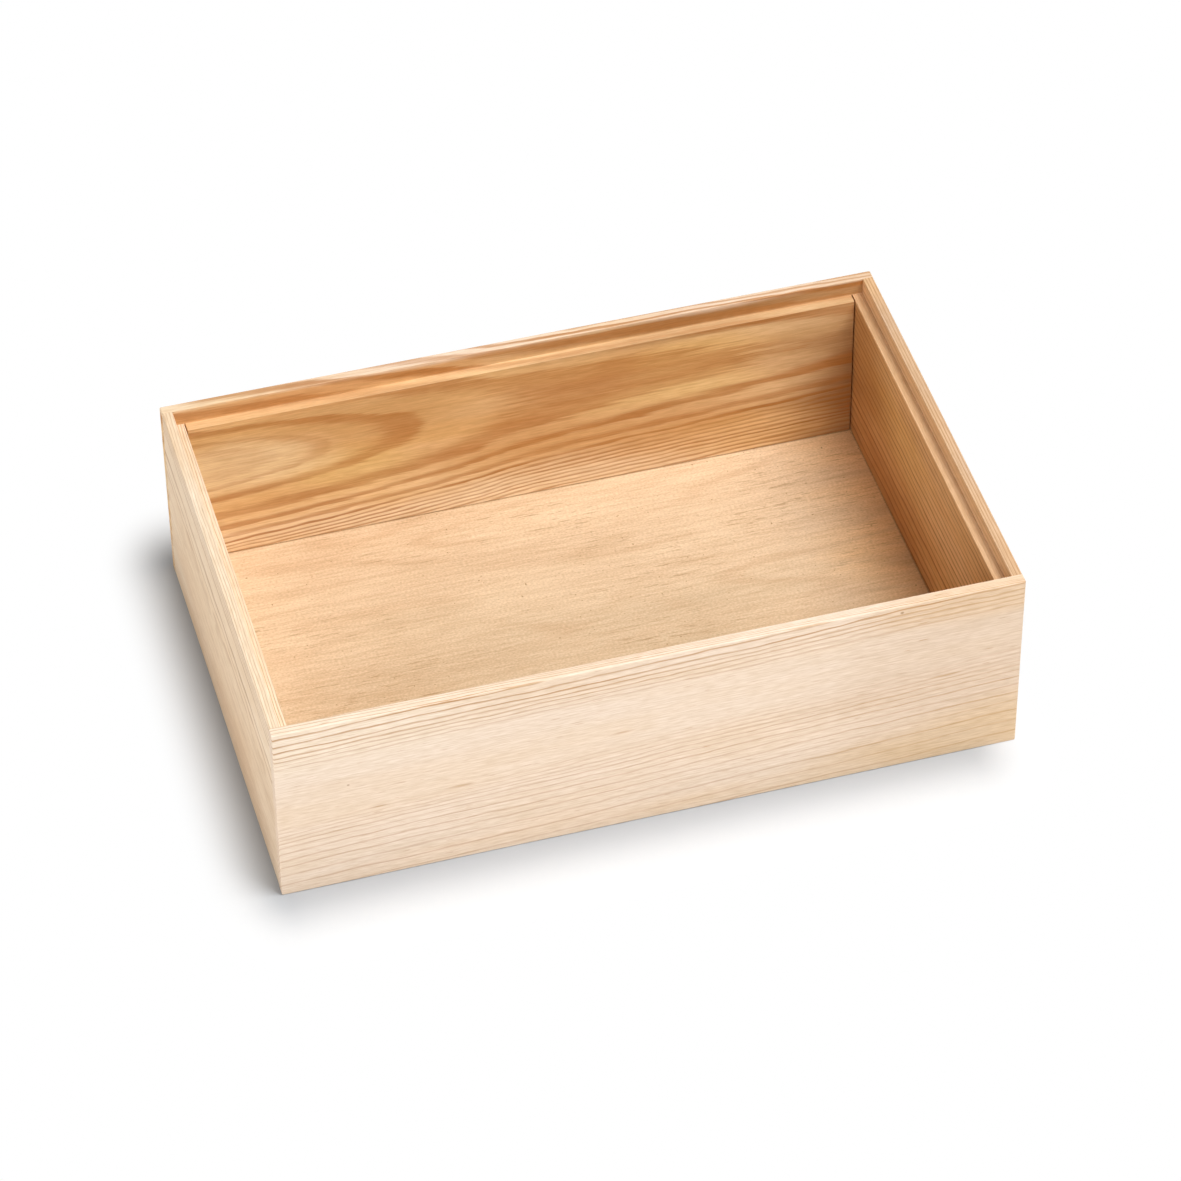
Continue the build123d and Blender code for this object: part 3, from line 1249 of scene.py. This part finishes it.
BACK_PINE = PineFinish(
    name="back_pine",
    wall=Wall.BACK,
    rings=GrowthRings(
        pith=(
            (-120.0, 34.4, 50.0),
            (-47.0, 31.9, 49.5),
            (3.0, 30.0, 48.0),
            (20.0, 27.6, 47.0),
            (43.0, 24.5, 46.7),
            (83.0, 18.7, 46.5),
            (120.0, 15.3, 46.0),
        ),
        years=(2.0, 8.0, 11.6, 14.0, 19.0, 26.7, 30.6, 34.3, 36.3, 37.9, 39.4, 40.8, 42.2, 43.6, 44.9, 46.3,
               47.7, 49.1, 50.5, 51.9, 53.4, 54.9, 56.4, 58.0, 59.6, 61.2, 62.8, 64.4),
        line_width=5.2,
        line_share=0.68,
        line_rise=0.5,
        line_fall=0.25,
        bold_by_year=((0.0, 0.1), (2.0, 0.25), (3.0, 0.52), (4.5, 0.75), (6.0, 0.85), (8.5, 0.9),
                      (27.0, 0.85)),
        feather=0.16,
    ),
    early=(0.90, 0.63, 0.34),
    late=(0.47, 0.18, 0.04),
    warm=(0.83, 0.53, 0.23),
    line_strength=0.95,
    dash_strength=0.15,
    seed=12.0,
    stains_and_painted_light=(
        Patch((-30.0, 34.0), (95.0, 50.0), (0.62, 0.31, 0.11), 0.6),
        Patch((58.0, 56.0), (55.0, 18.0), (0.58, 0.31, 0.12), 0.55),
        Patch((-55.0, 39.0), (42.0, 8.0), (0.92, 0.66, 0.30), 0.65),
        Patch((62.0, 33.0), (30.0, 12.0), (0.80, 0.55, 0.20), 0.5),
        Patch((-58.0, 53.0), (30.0, 13.0), (0.95, 0.66, 0.28), 0.45),
        Patch((35.0, 10.0), (160.0, 15.0), (0.98, 0.80, 0.57), 0.9),
        Patch((102.0, 43.0), (42.0, 15.0), (0.95, 0.76, 0.47), 0.75),
        # Dark at the right end: painted shadow of the right wall
        Patch((-120.0, 32.0), (48.0, 60.0), (0.34, 0.15, 0.05), 0.85),
        # Dark rebate face towards the right: partly the wood's tone, partly painted shade in the corner under
        # the right rim
        Patch((-60.0, 66.8), (110.0, 6.0), (0.46, 0.24, 0.095), 0.95),
        Patch((80.0, 67.0), (90.0, 6.5), (0.75, 0.41, 0.175), 0.95),
        Patch((0.0, 70.8), (240.0, 2.8), (0.89, 0.69, 0.52), 0.9),
        Patch((116.0, 72.0), (50.0, 5.0), (0.93, 0.76, 0.56), 0.7),
    ),
    marks=(Patch((0.0, 64.0), (240.0, 0.6), (0.95, 0.70, 0.42), 0.25),),
)
LEFT_PINE = PineFinish(
    name="left_pine",
    wall=Wall.LEFT,
    rings=GrowthRings(
        pith=((-80.0, -60.0, 40.5), (80.0, -60.3, 39.5)),
        years=(50.0, 56.0, 59.8, 60.4, 60.9, 61.8, 64.6, 65.5, 66.4, 67.3, 68.1, 69.0, 69.8, 70.7, 71.5, 72.4,
               73.3, 74.3, 75.4, 76.6, 78.0, 80.0),
        bold_by_height=((0.0, 0.15), (38.0, 0.3), (50.0, 0.9), (66.0, 1.0), (70.0, 0.6)),
        wave=0.5,
    ),
    early=(0.93, 0.76, 0.57),
    late=(0.46, 0.23, 0.08),
    warm=(0.90, 0.71, 0.51),
    line_strength=0.85,
    dash_strength=0.25,
    seed=21.0,
    stains_and_painted_light=(
        Patch((0.0, 34.0), (160.0, 46.0), (0.85, 0.62, 0.40), 0.6),
        # Darker towards the foot: painted shade near the floor
        Patch((0.0, -4.0), (120.0, 40.0), (0.68, 0.43, 0.25), 0.5),
        Patch((84.0, 22.0), (48.0, 46.0), (0.66, 0.47, 0.31), 0.5),
        Patch((-62.0, 71.0), (40.0, 9.0), (0.86, 0.60, 0.36), 0.55),
    ),
)
RIGHT_PINE = PineFinish(
    name="right_pine",
    wall=Wall.RIGHT,
    rings=GrowthRings(
        pith=((-80.0, -300.0, -67.0), (80.0, -301.0, -65.0)),
        spacing=0.95,
        line_rise=1.0,
        bold_by_height=((0.0, 1.0), (60.0, 1.0), (64.5, 0.4), (69.0, 0.4), (70.0, 0.8)),
        wave=0.4,
    ),
    early=(0.79, 0.48, 0.23),
    late=(0.30, 0.11, 0.03),
    warm=(0.73, 0.41, 0.17),
    line_strength=1.0,
    dash_strength=0.15,
    seed=33.0,
    stains_and_painted_light=(
        Patch((25.0, 46.0), (60.0, 22.0), (0.66, 0.40, 0.13), 0.5),
        Patch((30.0, 14.0), (90.0, 24.0), (0.46, 0.20, 0.07), 0.6),
        Patch((0.0, 60.0), (140.0, 11.0), (0.52, 0.29, 0.11), 0.35),
        # Darker towards the upper rear: painted shade
        Patch((66.0, 44.0), (46.0, 34.0), (0.40, 0.18, 0.055), 0.7),
        # Colour of the rebate face: partly painted, the warm cast of the shade it lies in
        Patch((0.0, 66.5), (240.0, 4.5), (0.78, 0.50, 0.27), 0.9),
        Patch((0.0, 71.6), (240.0, 3.0), (0.55, 0.40, 0.29), 0.9),
    ),
    # Paler along the ledge: painted light over the shade that the rim casts there
    marks=(Patch((0.0, 64.3), (240.0, 1.0), (0.86, 0.58, 0.36), 0.5),),
)
FLOOR_PLYWOOD = PlywoodFinish(
    name="floor_plywood",
    pale=(0.82, 0.62, 0.41),
    tan=(0.73, 0.53, 0.34),
    figure=(0.60, 0.39, 0.22),
    fleck=(0.39, 0.225, 0.10),
    flecked=Patch((-70.0, -8.0), (60.0, 32.0), (0.64, 0.455, 0.28), 0.62),
    seed=45.0,
    patches=(
        Patch((20.0, -80.0), (220.0, 120.0), (0.57, 0.41, 0.25), 0.9),
        # Warmer and paler beside the right wall: painted light, the warm glow from the wood in that wall's
        # shadow
        Patch((122.0, 10.0), (46.0, 130.0), (0.96, 0.60, 0.28), 0.85),
    ),
)


def main() -> None:
    """Build the boards, the bottom and the studio in order, and report each piece."""
    logging.basicConfig(level=logging.INFO, format="%(message)s")
    joinery = Joinery()
    tree = board_tree()
    finishes: Sequence[PineFinish] = (FRONT_PINE, BACK_PINE, LEFT_PINE, RIGHT_PINE)
    makers = [Board(finish.wall, finish, joinery, tree) for finish in finishes]
    for maker in [*makers, BottomPanel(FLOOR_PLYWOOD)]:
        piece = maker.build()
        LOG.info("%s: %d faces in %s", piece.name, len(piece.data.polygons), piece.data.materials[0].name)
    Studio().build()


if __name__ == "__main__":
    main()
